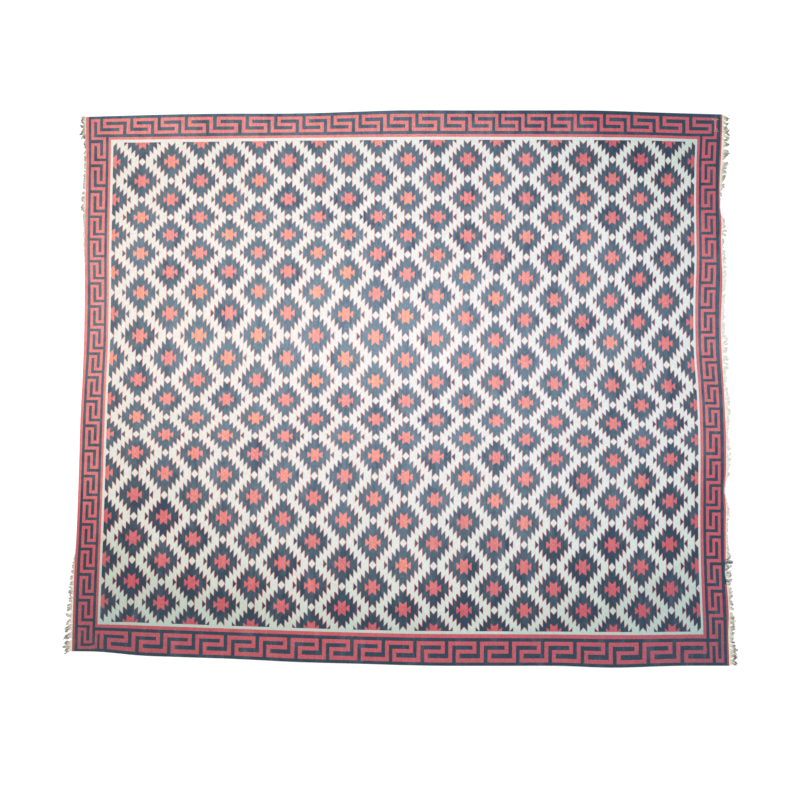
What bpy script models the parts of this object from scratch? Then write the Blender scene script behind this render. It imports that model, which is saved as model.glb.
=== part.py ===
"""Dhurrie rug: one flat-woven cotton cloth with a warp fringe on its two ends.

The rug lies face up on a surface, with its ends on the left and right (X)
and its selvedges far and near (Y). The origin is on the underside, at the
middle of the cloth. Units are metres, +Z is up.
"""
import math

import bmesh
import bpy

# Driving dimensions of the cloth
RUG_LENGTH = 3.66        # end to end along the warps, 12 ft
RUG_WIDTH = 3.07         # selvedge to selvedge, 10 ft
CLOTH_THICKNESS = 0.004
OUTLINE_STEP = 0.045     # spacing of the outline's points

# Driving dimensions of the fringe
EDGE_GAP = 0.0003        # between the cloth's end and the strip that holds the locks
STRIP_WIDTH = 0.005
FRINGE_THICKNESS = 0.0032
TIP_THICKNESS = 0.0014
LOCK_PITCH = 0.019       # one lock of warp ends to the next
LOCK_LEAN = 0.0055       # most that a tip lies to the side of its root
LOCK_BOW = 0.0015        # most that a lock's middle bends to the side
LOCK_UNEVEN = 0.22       # share by which the locks differ in length
STUB = 0.003             # shortest lock beyond the strip

# A lock's width along its length. Columns: share of the length, width.
LOCK_SHAPE = (
    (0.00, 0.0125), (0.40, 0.0105), (0.75, 0.0085), (1.00, 0.0040),
)

# Turns, in radians from one lock to the next, that set how the locks differ
REACH_TURN = 2.11
LEAN_TURN = 1.93
BOW_TURN = 2.71
QUICK_TURN = 2.37        # a second, quicker wave on top, as a multiple
QUICK_START = 1.3
QUICK_SHARE = 0.35

# How far each side of the cloth lies outside its straight line, in mm.
# Columns: place along the side, mm outside (minus is inside).
FAR_SELVEDGE = (
    (-1.83, 8), (-1.31, 20), (-0.99, 23), (-0.62, 21), (-0.25, 30), (0.00, 36),
    (0.40, 33), (0.80, 31), (1.11, 28), (1.48, 14), (1.83, 0),
)
NEAR_SELVEDGE = (
    (-1.83, -5), (-1.66, -5), (-1.43, 12), (-1.18, 16), (-0.92, 20), (-0.56, 30),
    (-0.20, 34), (0.20, 37), (0.59, 30), (0.92, 24), (1.20, 28), (1.54, 12), (1.83, 6),
)
LEFT_END = (
    (-1.54, -7), (-1.36, -6), (-1.06, -7), (-0.88, -13), (-0.51, -16), (-0.24, -15),
    (0.05, -21), (0.27, -22), (0.53, -18), (0.88, -7), (1.18, -5), (1.36, 0), (1.54, 6),
)
RIGHT_END = (
    (-1.54, 4), (-1.38, 0), (-1.26, 3), (-1.10, -7), (-1.03, -19), (-0.95, -11),
    (-0.80, -10), (-0.66, -7), (-0.58, -17), (-0.50, -6), (-0.28, -3), (-0.07, -10),
    (0.17, -22), (0.34, -26), (0.60, -15), (0.81, -21), (0.92, -16), (0.99, -25),
    (1.15, -24), (1.35, -13), (1.54, -8),
)

# How far the locks reach beyond the cloth's end, in mm.
# Columns: place along the end, mm of reach.
LEFT_FAR_REACH = (
    (0.54, 9), (0.75, 11), (0.95, 15), (1.03, 27), (1.10, 25), (1.20, 19),
    (1.38, 14), (1.44, 22), (1.48, 35), (1.56, 39),
)
LEFT_NEAR_REACH = (
    (-1.56, 55), (-1.52, 50), (-1.49, 41), (-1.43, 46), (-1.36, 41), (-1.30, 38),
    (-1.22, 30), (-1.12, 28), (-1.05, 17), (-0.98, 9),
)
RIGHT_REACH = (
    (-1.56, 46), (-1.44, 45), (-1.39, 28), (-1.34, 36), (-1.22, 30), (-1.11, 27),
    (-1.07, 32), (-1.00, 46), (-0.93, 24), (-0.76, 16), (-0.68, 25), (-0.60, 20),
    (-0.47, 23), (-0.38, 30), (-0.30, 14), (-0.16, 31), (-0.05, 30), (0.03, 17),
    (0.12, 37), (0.24, 36), (0.36, 26), (0.46, 21), (0.60, 24), (0.74, 29),
    (0.80, 20), (0.88, 27), (0.95, 14), (1.06, 13), (1.11, 31), (1.24, 37),
    (1.38, 45), (1.46, 40), (1.56, 46),
)

# Colours, linear red, green, blue
INDIGO = (0.055, 0.100, 0.135)
COTTON = (0.620, 0.560, 0.400)

MM = 0.001
WELD_DISTANCE = 0.00001


def smooth_table(table, place):
    """Read a (place, mm) table at any place, along a smooth curve, in metres."""
    last = len(table) - 1
    place = min(max(place, table[0][0]), table[last][0])
    row = 0
    while row < last - 1 and place > table[row + 1][0]:
        row += 1
    before = table[max(row - 1, 0)]
    start = table[row]
    end = table[row + 1]
    after = table[min(row + 2, last)]
    span = end[0] - start[0]
    share = (place - start[0]) / span
    slope_start = (end[1] - before[1]) / (end[0] - before[0]) * span
    slope_end = (after[1] - start[1]) / (after[0] - start[0]) * span
    value = (
        (2 * share ** 3 - 3 * share ** 2 + 1) * start[1]
        + (share ** 3 - 2 * share ** 2 + share) * slope_start
        + (3 * share ** 2 - 2 * share ** 3) * end[1]
        + (share ** 3 - share ** 2) * slope_end
    )
    return value * MM


def end_x(side, y):
    """X of the cloth's left (-1) or right (+1) end at height y."""
    table = RIGHT_END if side > 0 else LEFT_END
    return side * (RUG_LENGTH / 2 + smooth_table(table, y))


def selvedge_y(side, x):
    """Y of the cloth's far (+1) or near (-1) selvedge at x."""
    table = FAR_SELVEDGE if side > 0 else NEAR_SELVEDGE
    return side * (RUG_WIDTH / 2 + smooth_table(table, x))


def corner(end, selvedge):
    """The cloth's corner at the given end and selvedge."""
    y = selvedge * RUG_WIDTH / 2
    x = end_x(end, y)
    return x, selvedge_y(selvedge, x)


def stations(start, stop):
    """Evenly spaced places from start to stop, about OUTLINE_STEP apart."""
    count = max(1, round(abs(stop - start) / OUTLINE_STEP))
    return [start + (stop - start) * step / count for step in range(count + 1)]


def end_points(side):
    """The cloth's end as points from its near corner to its far corner."""
    near = corner(side, -1)
    far = corner(side, 1)
    points = [(end_x(side, y), y) for y in stations(near[1], far[1])]
    points[0] = near
    points[-1] = far
    return points


def selvedge_points(side):
    """The selvedge as points from the left corner to the right corner."""
    left = corner(-1, side)
    right = corner(1, side)
    points = [(x, selvedge_y(side, x)) for x in stations(left[0], right[0])]
    points[0] = left
    points[-1] = right
    return points


def cloth_outline():
    """The cloth's outline, once round from its near left corner."""
    return (
        selvedge_points(-1)[:-1]
        + end_points(1)[:-1]
        + selvedge_points(1)[:0:-1]
        + end_points(-1)[:0:-1]
    )


def uneven(number, turn):
    """A fixed value from -1 to 1 that looks irregular from lock to lock."""
    slow = math.sin(number * turn)
    quick = math.sin(number * turn * QUICK_TURN + QUICK_START)
    return (1 - QUICK_SHARE) * slow + QUICK_SHARE * quick


def lock_outline(side, root_y, reach, number):
    """One flat lock, out along its near side and back along its far side."""
    root_x = end_x(side, root_y) + side * (EDGE_GAP + STRIP_WIDTH)
    length = reach - EDGE_GAP - STRIP_WIDTH
    lean = LOCK_LEAN * uneven(number, LEAN_TURN)
    bow = LOCK_BOW * uneven(number, BOW_TURN)
    near_side = []
    far_side = []
    for share, width in LOCK_SHAPE:
        x = root_x + side * length * share
        y = root_y + lean * share + bow * math.sin(math.pi * share)
        near_side.append((x, y - width / 2))
        far_side.append((x, y + width / 2))
    return near_side + far_side[::-1]


def fringe_outline(side, reach_table):
    """A strip along the cloth's end with its locks, as one comb-like outline."""
    near_y = reach_table[0][0]
    far_y = reach_table[-1][0]
    inner = [
        (x + side * EDGE_GAP, y) for x, y in end_points(side) if near_y <= y <= far_y
    ]
    span = inner[-1][1] - inner[0][1]
    count = round(span / LOCK_PITCH)
    comb = []
    for number in range(count):
        root_y = inner[0][1] + span * (number + 0.5) / count
        mean_reach = smooth_table(reach_table, root_y)
        reach = mean_reach * (1 + LOCK_UNEVEN * uneven(number, REACH_TURN))
        reach = max(reach, EDGE_GAP + STRIP_WIDTH + STUB)
        comb += lock_outline(side, root_y, reach, number)
    near_corner = (inner[0][0] + side * STRIP_WIDTH, inner[0][1])
    far_corner = (inner[-1][0] + side * STRIP_WIDTH, inner[-1][1])
    return [near_corner] + comb + [far_corner] + inner[::-1]


def cloth_material(name, colour):
    """A plain cotton finish."""
    material = bpy.data.materials.new(name)
    material.use_nodes = True
    shader = material.node_tree.nodes["Principled BSDF"]
    shader.inputs["Base Color"].default_value = (*colour, 1.0)
    shader.inputs["Roughness"].default_value = 0.9
    shader.inputs["Metallic"].default_value = 0.0
    return material


def flat_slab(name, outline, thickness, material, collection):
    """An outline filled and given a thickness, resting on the floor, as a mesh."""
    curve = bpy.data.curves.new(name + "_outline", "CURVE")
    curve.dimensions = "2D"
    curve.fill_mode = "BOTH"
    curve.extrude = thickness / 2
    spline = curve.splines.new("POLY")
    spline.points.add(len(outline) - 1)
    for point, (x, y) in zip(spline.points, outline):
        point.co = (x, y, 0.0, 1.0)
    spline.use_cyclic_u = True
    drawn = bpy.data.objects.new(name + "_outline", curve)
    drawn.location.z = thickness / 2
    collection.objects.link(drawn)
    bpy.context.view_layer.update()

    evaluated = drawn.evaluated_get(bpy.context.evaluated_depsgraph_get())
    mesh = bpy.data.meshes.new_from_object(evaluated)
    mesh.name = name
    mesh.transform(drawn.matrix_world)
    weld(mesh)
    mesh.materials.clear()
    mesh.materials.append(material)
    slab = bpy.data.objects.new(name, mesh)
    collection.objects.link(slab)
    bpy.data.objects.remove(drawn)
    bpy.data.curves.remove(curve)
    return slab


def weld(mesh):
    """Join the filled faces to the rim and point every face outwards."""
    shape = bmesh.new()
    shape.from_mesh(mesh)
    bmesh.ops.remove_doubles(shape, verts=shape.verts, dist=WELD_DISTANCE)
    bmesh.ops.recalc_face_normals(shape, faces=shape.faces)
    shape.to_mesh(mesh)
    shape.free()


def thin_the_tips(fringe, side, longest):
    """Lower the top of each lock towards its tip; the underside stays on the floor."""
    root = EDGE_GAP + STRIP_WIDTH
    for vertex in fringe.data.vertices:
        if vertex.co.z < FRINGE_THICKNESS / 2:
            continue
        out = side * (vertex.co.x - end_x(side, vertex.co.y))
        share = min(max((out - root) / (longest - root), 0.0), 1.0)
        vertex.co.z = FRINGE_THICKNESS + (TIP_THICKNESS - FRINGE_THICKNESS) * share


def build_cloth(collection):
    """The rug itself: one flat sheet with its hand-woven, uneven outline."""
    material = cloth_material("woven_cotton", INDIGO)
    return flat_slab("rug", cloth_outline(), CLOTH_THICKNESS, material, collection)


def build_fringe(collection):
    """The three stretches of warp fringe; the middle of the left end has none left."""
    material = cloth_material("warp_cotton", COTTON)
    stretches = (
        ("fringe_left_far", -1, LEFT_FAR_REACH),
        ("fringe_left_near", -1, LEFT_NEAR_REACH),
        ("fringe_right", 1, RIGHT_REACH),
    )
    for name, side, reach_table in stretches:
        outline = fringe_outline(side, reach_table)
        fringe = flat_slab(name, outline, FRINGE_THICKNESS, material, collection)
        longest = max(reach for place, reach in reach_table) * MM
        thin_the_tips(fringe, side, longest)


def main():
    for thing in list(bpy.data.objects):
        bpy.data.objects.remove(thing)
    collection = bpy.data.collections.new("dhurrie_rug")
    bpy.context.scene.collection.children.link(collection)
    build_cloth(collection)
    build_fringe(collection)


main()
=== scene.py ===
"""Dhurrie rug: the looks of a flat-woven cotton rug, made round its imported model.

The cloth is laid out as a weaver charts it. Across, the chart counts pattern cells
from the left end; along, it counts warps from the near selvedge. The places of the
chart's lines follow the hand-woven rug, so its stars and bars are as uneven as the
real ones: they were measured from a photograph of it. The dyes are worked out in the
cloth's material from the same chart, with colours first fitted to the photograph's.
Units are metres, with the origin under the middle of the cloth and +Z up.
"""

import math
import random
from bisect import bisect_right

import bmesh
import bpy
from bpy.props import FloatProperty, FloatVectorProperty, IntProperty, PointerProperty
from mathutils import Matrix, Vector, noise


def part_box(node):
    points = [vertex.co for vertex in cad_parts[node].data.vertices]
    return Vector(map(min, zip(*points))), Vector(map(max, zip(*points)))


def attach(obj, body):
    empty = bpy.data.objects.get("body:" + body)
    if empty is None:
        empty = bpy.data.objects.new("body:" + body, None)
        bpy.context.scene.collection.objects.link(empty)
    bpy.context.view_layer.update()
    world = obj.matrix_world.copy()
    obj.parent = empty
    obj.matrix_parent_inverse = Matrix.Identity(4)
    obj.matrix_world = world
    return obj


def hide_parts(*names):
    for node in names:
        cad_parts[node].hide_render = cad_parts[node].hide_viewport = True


bl_info = {
    "name": "Dhurrie Rug",
    "version": (1, 0, 0),
    "blender": (4, 5, 0),
    "location": "View3D > Sidebar > Dhurrie",
    "description": "Weaves a cotton dhurrie with stepped stars, a key border and fringes",
    "category": "Object",
}

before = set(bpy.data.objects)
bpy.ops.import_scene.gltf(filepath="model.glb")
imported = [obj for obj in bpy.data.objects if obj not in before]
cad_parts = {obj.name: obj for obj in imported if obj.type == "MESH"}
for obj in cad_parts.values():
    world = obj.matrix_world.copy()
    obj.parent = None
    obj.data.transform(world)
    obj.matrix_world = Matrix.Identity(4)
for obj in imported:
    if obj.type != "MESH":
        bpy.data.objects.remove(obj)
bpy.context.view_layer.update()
CLOTH_LOW, CLOTH_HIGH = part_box("rug")

MM = 0.001

# The chart of the field: stars stand on every other crossing of its rows and columns
CELLS = 8                # pattern cells from one star column to the next
STEPS = 5                # pattern steps from one star row to the next
STEP_WARPS = 4           # warps in a step
STAR_COLUMNS = 20        # columns from the field's left edge to its right edge
STAR_ROWS = 24           # rows from its far edge to its near edge
CORAL_STEPS = 1.2        # the coral centre ends where the stepped distance passes this
CORAL_SLANT = 0.7        # how steeply its teeth rise, in steps a cell
BODY_STEPS = 4           # and the indigo body where it passes this
BODY_SLANT = 1.0

# The border's bands from the outer edge to the field
# (c coral, i indigo, k key pattern, w cream)
END_BANDS = "cikkkkkicw"
SELVEDGE_BANDS = "ikkkkkicw"
END_KEY_START = 2        # bands outside the key on the ends
SELVEDGE_KEY_START = 1   # and on the selvedges
NEAR_BAND_WARPS = 4
FAR_BAND_WARPS = 3

FIELD_LEFT = len(END_BANDS)
FIELD_RIGHT = FIELD_LEFT + STAR_COLUMNS * CELLS
CHART_WIDTH = FIELD_RIGHT + len(END_BANDS)
FIELD_NEAR = len(SELVEDGE_BANDS) * NEAR_BAND_WARPS
FIELD_FAR = FIELD_NEAR + STAR_ROWS * STEPS * STEP_WARPS
CHART_HEIGHT = FIELD_FAR + len(SELVEDGE_BANDS) * FAR_BAND_WARPS

# Widths of the bands in mm, outer edge first, at the far and near ends of the left
# and right borders, and at the left and right ends of the far and near borders,
# measured from the photograph
LEFT_WIDTHS = (
    (15, 14, 17, 17, 17, 17, 17, 15, 13, 14),
    (14, 17, 17, 17, 15, 18, 16, 16, 13, 13),
)
RIGHT_WIDTHS = (
    (7, 20, 15, 14, 16, 15, 17, 13, 14, 10),
    (10, 17, 14, 18, 14, 18, 15, 17, 17, 12),
)
FAR_WIDTHS = (
    (15, 17, 18, 17, 18, 17, 17, 14, 16),
    (19, 14, 19, 17, 18, 16, 15, 14, 14),
)
NEAR_WIDTHS = (
    (17, 23, 21, 22, 18, 21, 18, 18, 15),
    (17, 22, 29, 20, 26, 22, 20, 23, 16),
)

# The near left corner's blocks were beaten to other heights than the border beside them
CORNER_WIDTHS = (13, 17, 15, 17, 29, 29, 17, 15, 21)

# Where the weave's beat and tension have left its lines. Each curve has the places of
# a few lines, and the lines between them follow it smoothly. The places were measured
# from the photograph by scripts, then thinned out and shifted to match it.
# Star columns from the left edge: column, x in metres at the middle of the width.
STAR_COLUMN_X = (
    (0, -1.660), (3, -1.145), (5, -0.804), (7, -0.467), (13, 0.552), (17, 1.200),
    (20, 1.668),
)

# Star rows from the far edge: row, y in metres on the rug's middle line.
STAR_ROW_Y = (
    (0, 1.398), (3, 1.059), (5, 0.844), (7, 0.619), (9, 0.379), (10, 0.256),
    (11, 0.131), (12, 0.006), (14, -0.209), (16, -0.413), (18, -0.655),
    (20, -0.900), (22, -1.148), (24, -1.384),
)

# How much higher a star row lies off the middle line: x, then (row, rise in mm).
STAR_ROW_RISES = (
    (-1.50, ((0, -8), (2, -9), (4, -2), (8, 10), (11, 2), (17, 8), (20, 9), (24, 20))),
    (-0.64, ((0, -2), (3, -5), (8, 19), (12, 3), (24, 6))),
    (0.04, ((0, 0), (24, 0))),
    (0.72, ((0, -3), (4, -5), (8, -22), (12, -4), (17, -5), (24, 8))),
    (1.36, ((0, -9), (4, -8), (8, -30), (12, -17), (17, -9), (19, 6), (24, 16))),
    (1.66, ((0, -19), (4, -17), (7, -32), (11, -21), (15, 2), (19, 20), (24, 24))),
)

# How far the middle columns sway to the right along the width: y, shift in mm.
SWAY = (
    (-1.40, 0.0), (-1.10, -3.5), (-0.72, -2.0), (-0.40, 6.0), (-0.15, 4.0), (0.15, -3.0),
    (0.40, -3.0), (0.80, 5.0), (1.05, 3.0), (1.40, 0.0),
)

# Where full bars of the key border cross it: number of the bar, place along its side.
LEFT_BARS = (
    (0, 1.411), (1, 1.272), (3, 0.969), (6, 0.579), (8, 0.309), (12, -0.241),
    (14, -0.529), (17, -0.941), (20, -1.372), (21, -1.512),
)
RIGHT_BARS = (
    (0, 1.401), (4, 0.839), (9, 0.141), (12, -0.249), (13, -0.401), (16, -0.825),
    (18, -1.121), (19, -1.272), (20, -1.413),
)
FAR_BARS = (
    (0, -1.763), (1, -1.584), (4, -1.100), (5, -0.908), (10, -0.090), (13, 0.398),
    (17, 0.996), (19, 1.297), (22, 1.794),
)
NEAR_BARS = (
    (0, -1.655), (5, -0.750), (11, 0.308), (12, 0.483), (15, 1.015), (16, 1.190),
    (17, 1.374), (19, 1.742),
)

# One unit of the key border, as shares of its length
KEY_BAR = 0.12           # the full bar, and each short bar
KEY_GAP = 0.115          # the gap on either side of the hooked body

# How the border turns each corner, band by band, rows far to near, columns left to right
CORNER_CHARTS = {
    ("left", "far"): (
        "ciiiiiiiii", "cicccicccc", "ciciciciii", "cicicicccc", "ciciciiiii",
        "cicicccccc", "ciciiiiiii", "cicccccicc", "ciiiiicicw",
    ),
    ("right", "far"): (
        "iiiiiiiiic", "ccccccccic", "iiiiiiicic", "ccccccicic", "iiiiicicic",
        "ccccccicic", "iiiiiiicic", "ccicccccic", "wciciiiiic",
    ),
    ("left", "near"): (
        "cicccccicw", "ciiiiicicc", "ciccciciii", "cicicicicc", "cicicicici",
        "cicicccici", "ciciiiiici", "ciccccccci", "ciiiiiiiii",
    ),
    ("right", "near"): (
        "wcicicicic", "ccicccicic", "iiiiiiicic", "ccicccicic", "icicicicic",
        "ccicicicic", "iiicicicic", "ccccicccic", "iiiiiiiiic",
    ),
}

# Codes of the dyes in the cloth's "dye" attribute
DYE_CODES = {"i": 0, "c": 1, "w": 2, "k": 3, "f": 4}

# How far along an end its notches are evened out for the bands inside the first two
SETTLE_REACH = 0.34
SETTLED_BANDS = 2
WAIST = 7 * MM           # how far they are drawn in just beyond the rug's middle

# Extra lines of the cloth's grid near its edges, which round them
END_ROUNDING = 0.2       # in bands
SELVEDGE_BEAD = 0.5      # in warps

# The mend on the right end, where indigo yarn replaces the worn coral stripe
MEND_NEAR = -1.095
MEND_FAR = -0.965


class DhurrieClothSettings(bpy.types.PropertyGroup):
    """Sizes and dyes of the woven cloth, with the light and shade painted on them."""

    thickness: FloatProperty(
        name="Thickness", description="Thickness of the woven cloth",
        default=CLOTH_HIGH.z - CLOTH_LOW.z - 0.0004, min=0.001, max=0.01,
        unit="LENGTH", precision=4,
    )
    swell: FloatProperty(
        name="Swell", description="How far the cloth's broad swells lift off the floor",
        default=0.0035, min=0.0, max=0.01, unit="LENGTH", precision=4,
    )
    edge_wave: FloatProperty(
        name="Edge wave", description="How far the cloth's wavy edges lift off the floor",
        default=0.004, min=0.0, max=0.01, unit="LENGTH", precision=4,
    )
    rim_bulge: FloatProperty(
        name="Rim bulge", description="How far the rim's middle stands outside its faces",
        default=0.0012, min=0.0, max=0.003, unit="LENGTH", precision=4,
    )
    rib_depth: FloatProperty(
        name="Rib depth", description="Relief of the ribs that the warps raise",
        default=0.0011, min=0.0, max=0.003, unit="LENGTH", precision=4,
    )
    # The deep and faded indigo are partly sun-fading and partly painted: painted shade darkens
    # the deep end towards the edges, and a painted pool of light lifts the faded end in the
    # middle.
    indigo_deep_shaded: FloatVectorProperty(
        name="Deep indigo", description="Indigo where the rug has kept its dye",
        default=(0.028, 0.056, 0.084), min=0.0, max=1.0, subtype="COLOR",
    )
    indigo_faded_lit: FloatVectorProperty(
        name="Faded indigo", description="Indigo in the sun-faded middle",
        default=(0.202, 0.297, 0.402), min=0.0, max=1.0, subtype="COLOR",
    )
    indigo_green: FloatVectorProperty(
        name="Greenish indigo", description="Indigo from a greener dye lot",
        default=(0.086, 0.201, 0.209), min=0.0, max=1.0, subtype="COLOR",
    )
    indigo_violet: FloatVectorProperty(
        name="Violet indigo", description="Indigo of the darker, more violet streaks",
        default=(0.045, 0.060, 0.145), min=0.0, max=1.0, subtype="COLOR",
    )
    indigo_worn: FloatVectorProperty(
        name="Worn indigo", description="Indigo where wear has rubbed it pale",
        default=(0.300, 0.370, 0.345), min=0.0, max=1.0, subtype="COLOR",
    )
    # The deep and faded coral are partly sun-fading and partly painted: painted shade towards
    # the edges, and a painted pool of light in the middle.
    coral_deep_shaded: FloatVectorProperty(
        name="Deep coral", description="Coral where the rug has kept its dye",
        default=(0.513, 0.109, 0.141), min=0.0, max=1.0, subtype="COLOR",
    )
    coral_faded_lit: FloatVectorProperty(
        name="Faded coral", description="Coral in the sun-faded middle",
        default=(0.950, 0.398, 0.362), min=0.0, max=1.0, subtype="COLOR",
    )
    coral_peach: FloatVectorProperty(
        name="Peach coral", description="Coral from a lighter, yellower dye lot",
        default=(0.960, 0.500, 0.305), min=0.0, max=1.0, subtype="COLOR",
    )
    # Painted light and shade: the cream darkens towards the edges and is brightest in the lit
    # middle.
    cream_shaded: FloatVectorProperty(
        name="Soiled cream", description="Cream towards the rug's soiled edges",
        default=(0.490, 0.610, 0.552), min=0.0, max=1.0, subtype="COLOR",
    )
    cream_lit: FloatVectorProperty(
        name="Clean cream", description="Cream in the clean middle",
        default=(0.815, 0.849, 0.855), min=0.0, max=1.0, subtype="COLOR",
    )
    # Painted shade: a tint that darkens and cools the coral and the cream towards the edges
    # and near corners.
    dimming: FloatVectorProperty(
        name="Soil", description="Tint of the coral and the cream at the near corners",
        default=(0.36, 0.64, 0.75), min=0.0, max=1.0, subtype="COLOR",
    )
    cast_left: FloatVectorProperty(
        name="Cast at the left", description="Warm cast that the light gives the left end",
        default=(1.000, 0.889, 0.822), min=0.0, max=1.0, subtype="COLOR",
    )
    cast_right: FloatVectorProperty(
        name="Cast at the right", description="Cool cast that the light gives the right end",
        default=(0.990, 0.970, 1.000), min=0.0, max=1.0, subtype="COLOR",
    )


class DhurrieFringeSettings(bpy.types.PropertyGroup):
    """Sizes and colours of the warp fringe and the loose yarns."""

    yarn_radius: FloatProperty(
        name="Yarn radius", description="Radius of one plied warp end",
        default=0.0011, min=0.0003, max=0.003, unit="LENGTH", precision=4,
    )
    yarns_per_warp: IntProperty(
        name="Yarns per warp", description="Plied ends that leave the cloth at each warp",
        default=3, min=1, max=4,
    )
    lock_pitch: FloatProperty(
        name="Lock pitch", description="Spacing of the locks that the ends gather into",
        default=0.015, min=0.005, max=0.06, unit="LENGTH", precision=4,
    )
    curl: FloatProperty(
        name="Curl", description="How far a warp end wanders from its lock",
        default=0.0055, min=0.0, max=0.02, unit="LENGTH", precision=4,
    )
    clean: FloatVectorProperty(
        name="Clean cotton", description="Undyed cotton of the fringe",
        default=(0.960, 0.940, 0.860), min=0.0, max=1.0, subtype="COLOR",
    )
    # Painted shade: the fringe's cotton greys towards the rug's corners.
    shaded_cotton: FloatVectorProperty(
        name="Greyed cotton", description="Undyed cotton near the rug's corners",
        default=(0.840, 0.800, 0.660), min=0.0, max=1.0, subtype="COLOR",
    )
    # The dark tips are partly dirt and partly painted shade between the locks.
    dimmed: FloatVectorProperty(
        name="Soiled cotton", description="Soiled tips of the fringe",
        default=(0.075, 0.080, 0.050), min=0.0, max=1.0, subtype="COLOR",
    )
    dyed: FloatVectorProperty(
        name="Mending yarn", description="Indigo yarn of the mended stretch",
        default=(0.060, 0.090, 0.150), min=0.0, max=1.0, subtype="COLOR",
    )


class DhurrieStageSettings(bpy.types.PropertyGroup):
    """The floor, the lights and the camera."""

    floor_size: FloatProperty(
        name="Floor size", description="Width of the pale floor",
        default=30.0, min=5.0, max=100.0, unit="LENGTH",
    )
    floor_colour: FloatVectorProperty(
        name="Floor colour", description="Colour of the pale floor",
        default=(0.88, 0.88, 0.88), min=0.0, max=1.0, subtype="COLOR",
    )
    sky_strength: FloatProperty(
        name="Sky strength", description="Brightness of the even light from all round",
        default=1.05, min=0.0, max=5.0,
    )
    lamp_power: FloatProperty(
        name="Lamp power", description="Power of the large soft lamp",
        default=500.0, min=0.0, max=2000.0, unit="POWER",
    )
    lamp_size: FloatProperty(
        name="Lamp size", description="Width of the large soft lamp",
        default=6.0, min=0.5, max=20.0, unit="LENGTH",
    )
    lamp_place: FloatVectorProperty(
        name="Lamp place", description="Where the soft lamp hangs",
        default=(-4.5, 4.5, 9.0), subtype="TRANSLATION", unit="LENGTH",
    )
    camera_place: FloatVectorProperty(
        name="Camera place", description="Where the camera stands",
        default=(0.3324, -0.5294, 6.2527), subtype="TRANSLATION", unit="LENGTH",
    )
    camera_aim: FloatVectorProperty(
        name="Camera aim", description="The point on the floor that the camera looks at",
        default=(0.0136, -0.0972, 0.0), subtype="TRANSLATION", unit="LENGTH",
    )
    camera_roll: FloatProperty(
        name="Camera roll", description="Turn of the camera about its own line of sight",
        default=math.radians(0.62), min=-math.pi, max=math.pi, subtype="ANGLE",
    )
    camera_lens: FloatProperty(
        name="Camera lens", description="Focal length of the camera, in millimetres",
        default=50.0, min=10.0, max=300.0, unit="CAMERA",
    )


def mix(start, end, share):
    """The value that lies the given share of the way from start to end."""
    return start + (end - start) * share


def limit(value, low=0.0, high=1.0):
    """The value, kept between low and high."""
    return min(max(value, low), high)


def ease(low, high, value):
    """A smooth step from 0 at low to 1 at high."""
    share = limit((value - low) / (high - low))
    return share * share * (3 - 2 * share)


def smooth_reading(places, values, place):
    """A smooth curve through the values, read at any place; straight past its ends."""
    last = len(places) - 1
    row = int(limit(bisect_right(places, place) - 1, 0, last - 1))
    span = places[row + 1] - places[row]
    share = (place - places[row]) / span
    before = max(row - 1, 0)
    after = min(row + 2, last)
    slope_start = (values[row + 1] - values[before]) / (places[row + 1] - places[before])
    slope_end = (values[after] - values[row]) / (places[after] - places[row])
    if share < 0:
        return values[0] + slope_start * (place - places[0])
    if share > 1:
        return values[last] + slope_end * (place - places[last])
    return (
        (2 * share ** 3 - 3 * share ** 2 + 1) * values[row]
        + (share ** 3 - 2 * share ** 2 + share) * slope_start * span
        + (3 * share ** 2 - 2 * share ** 3) * values[row + 1]
        + (share ** 3 - share ** 2) * slope_end * span
    )


def curve(stations, place):
    """A smooth curve through stations of (place, value), read at any place."""
    places = [station[0] for station in stations]
    return smooth_reading(places, [station[1] for station in stations], place)


def full_bars(stations):
    """Where every full bar of a border stands, from the few that are given."""
    return [curve(stations, number) for number in range(stations[-1][0] + 1)]


def line_number(lines, place):
    """Which of the lines a place is at, as a whole number and a share between lines."""
    downward = lines[-1] < lines[0]
    rising = [-line for line in lines] if downward else lines
    at = -place if downward else place
    row = int(limit(bisect_right(rising, at) - 1, 0, len(lines) - 2))
    return row + (at - rising[row]) / (rising[row + 1] - rising[row])


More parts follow.
